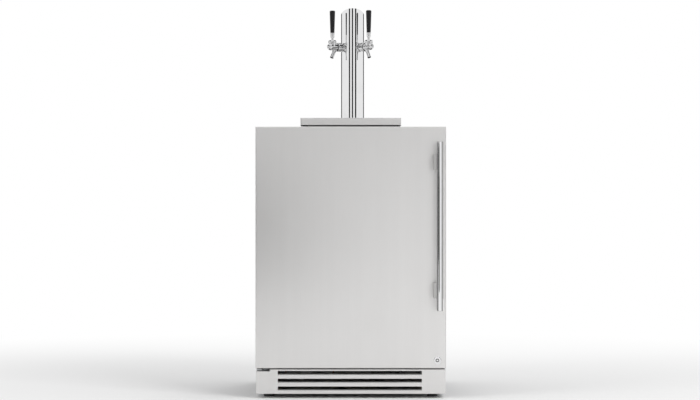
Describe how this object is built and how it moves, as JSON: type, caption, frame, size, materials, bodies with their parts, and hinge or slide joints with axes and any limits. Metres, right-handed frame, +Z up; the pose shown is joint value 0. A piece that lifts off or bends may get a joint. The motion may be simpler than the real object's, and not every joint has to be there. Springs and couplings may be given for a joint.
{
  "type": "undercounter beer dispenser",
  "caption": "Undercounter beer dispenser: insulated cabinet for a keg, steel door with tube handle and lock, louvred toe grille, drip tray and a slant-cut tower with splayed taps.",
  "frame": {"origin": "on the floor, at the middle of the overall width and depth", "axes": "+X to the right and +Y to the back seen from the front, +Z up"},
  "size_m": [0.6064, 0.682, 1.2678],
  "materials": {
    "stainless": "satin",
    "polished_steel": "polished",
    "galvanised": "satin",
    "cabinet_paint": "satin",
    "dark_metal": "satin",
    "foam": "matte",
    "liner": "satin",
    "seal": "matte",
    "fins": "satin",
    "copper": "satin",
    "brass": "satin",
    "cylinder_metal": "satin",
    "black_plastic": "satin",
    "grip": "gloss",
    "hose": "satin",
    "gas_hose": "satin",
    "bush": "matte"
  },
  "bodies": {
    "cabinet": {"outer_wrapper": "cabinet_paint", "foam_insulation": "foam", "inner_liner": "liner", "rear_panel": "galvanised", "base_frame": "galvanised", "keg_floor": "stainless", "toe_grille": "stainless", "cabinet_screws": "polished_steel", "hinge_plates": "dark_metal", "evaporator_coil": "fins", "evaporator_cover": "liner", "evaporator_motor": "dark_metal", "compressor": "dark_metal", "condenser_coil": "fins", "condenser_motor": "dark_metal", "refrigerant_lines": "copper", "control_housing": "liner", "power_inlet": "black_plastic", "tower_column": "polished_steel", "tower_cap": "polished_steel", "tap_shanks": "polished_steel", "shank_nuts": "polished_steel", "tap_body_left": "polished_steel", "tap_body_right": "polished_steel", "tap_bonnets": "polished_steel", "beer_lines": "hose", "gas_cylinder": "cylinder_metal", "cylinder_valve": "brass", "regulator_body": "polished_steel", "pressure_gauges": "brass", "gas_line": "gas_hose", "keg_coupler": "polished_steel"},
    "door": {"door_skin": "stainless", "door_foam": "foam", "door_liner": "liner", "door_gasket": "seal", "handle_tube": "polished_steel", "handle_brackets": "stainless", "lock_barrel": "stainless", "hinge_bushes": "bush"},
    "lock": {"lock_plug": "polished_steel"},
    "lever_left": {"tap_lever_left": "polished_steel", "tap_grip_left": "grip"},
    "lever_right": {"tap_lever_right": "polished_steel", "tap_grip_right": "grip"},
    "valve_left": {"valve_shaft_left": "stainless"},
    "valve_right": {"valve_shaft_right": "stainless"},
    "tray": {"drip_tray": "stainless", "tray_feet": "black_plastic"},
    "grid": {"drip_grid": "stainless"},
    "cold_fan": {"evaporator_fan": "black_plastic"},
    "warm_fan": {"condenser_fan": "black_plastic"},
    "leg_1": {"leg_front_left": "black_plastic"},
    "leg_2": {"leg_front_right": "black_plastic"},
    "leg_3": {"leg_rear_left": "black_plastic"},
    "leg_4": {"leg_rear_right": "black_plastic"},
    "dial": {"thermostat_dial": "black_plastic"},
    "handwheel": {"valve_handwheel": "black_plastic"},
    "knob": {"regulator_knob": "black_plastic"},
    "coupler_lever": {"coupler_handle": "black_plastic"}
  },
  "joints": [
    {"name": "door_swing", "type": "hinge", "parent": "cabinet", "child": "door", "pos_m": [-0.2902, -0.251, 0.48], "axis": [0, 0, -1], "range_deg": [0, 110]},
    {"name": "lock_turn", "type": "hinge", "parent": "door", "child": "lock", "pos_m": [0.2755, -0.27, 0.1223], "axis": [0, -1, 0], "range_deg": [0, 90]},
    {"name": "left_lever_tilt", "type": "hinge", "parent": "cabinet", "child": "lever_left", "pos_m": [-0.06043, -0.06303, 1.1528], "axis": [0.6239, -0.7815, 0], "range_deg": [0, 35]},
    {"name": "left_valve_slide", "type": "slide", "parent": "cabinet", "child": "valve_left", "axis": [-0.7815, -0.6239, 0], "range_m": [-0.0068, 0]},
    {"name": "right_lever_tilt", "type": "hinge", "parent": "cabinet", "child": "lever_right", "pos_m": [0.05903, -0.07643, 1.1528], "axis": [0.7815, 0.6239, 0], "range_deg": [0, 35]},
    {"name": "right_valve_slide", "type": "slide", "parent": "cabinet", "child": "valve_right", "axis": [0.6239, -0.7815, 0], "range_m": [-0.0068, 0]},
    {"name": "tray_lift", "type": "slide", "parent": "cabinet", "child": "tray", "axis": [0, 0, 1], "range_m": [0, 0.04]},
    {"name": "grid_lift", "type": "slide", "parent": "tray", "child": "grid", "axis": [0, 0, 1], "range_m": [0, 0.03]},
    {"name": "cold_fan_spin", "type": "hinge", "parent": "cabinet", "child": "cold_fan", "pos_m": [-0.057, 0.216, 0.7288], "axis": [0, -1, 0], "continuous": true},
    {"name": "warm_fan_spin", "type": "hinge", "parent": "cabinet", "child": "warm_fan", "pos_m": [-0.126, 0.2779, 0.1205], "axis": [1, 0, 0], "continuous": true},
    {"name": "front_left_leg_screw", "type": "slide", "parent": "cabinet", "child": "leg_1", "axis": [0, 0, -1], "range_m": [0, 0.025]},
    {"name": "front_right_leg_screw", "type": "slide", "parent": "cabinet", "child": "leg_2", "axis": [0, 0, -1], "range_m": [0, 0.025]},
    {"name": "rear_left_leg_screw", "type": "slide", "parent": "cabinet", "child": "leg_3", "axis": [0, 0, -1], "range_m": [0, 0.025]},
    {"name": "rear_right_leg_screw", "type": "slide", "parent": "cabinet", "child": "leg_4", "axis": [0, 0, -1], "range_m": [0, 0.025]},
    {"name": "dial_turn", "type": "hinge", "parent": "cabinet", "child": "dial", "pos_m": [-0.022, -0.2, 0.8038], "axis": [0, 1, 0], "range_deg": [-135, 135]},
    {"name": "handwheel_turn", "type": "hinge", "parent": "cabinet", "child": "handwheel", "pos_m": [0.1985, 0.1345, 0.52], "axis": [0, 0, 1], "range_deg": [0, 540]},
    {"name": "knob_turn", "type": "hinge", "parent": "cabinet", "child": "knob", "pos_m": [0.1985, 0.056, 0.4936], "axis": [0, 1, 0], "range_deg": [0, 720]},
    {"name": "coupler_lever_swing", "type": "hinge", "parent": "cabinet", "child": "coupler_lever", "pos_m": [0.21, -0.143, 0.1833], "axis": [1, 0, 0], "range_deg": [0, 65]}
  ],
  "couplings": [
    {"joint": "left_valve_slide", "follows": "left_lever_tilt", "m_per_rad": -0.0108},
    {"joint": "right_valve_slide", "follows": "right_lever_tilt", "m_per_rad": -0.0108}
  ]
}
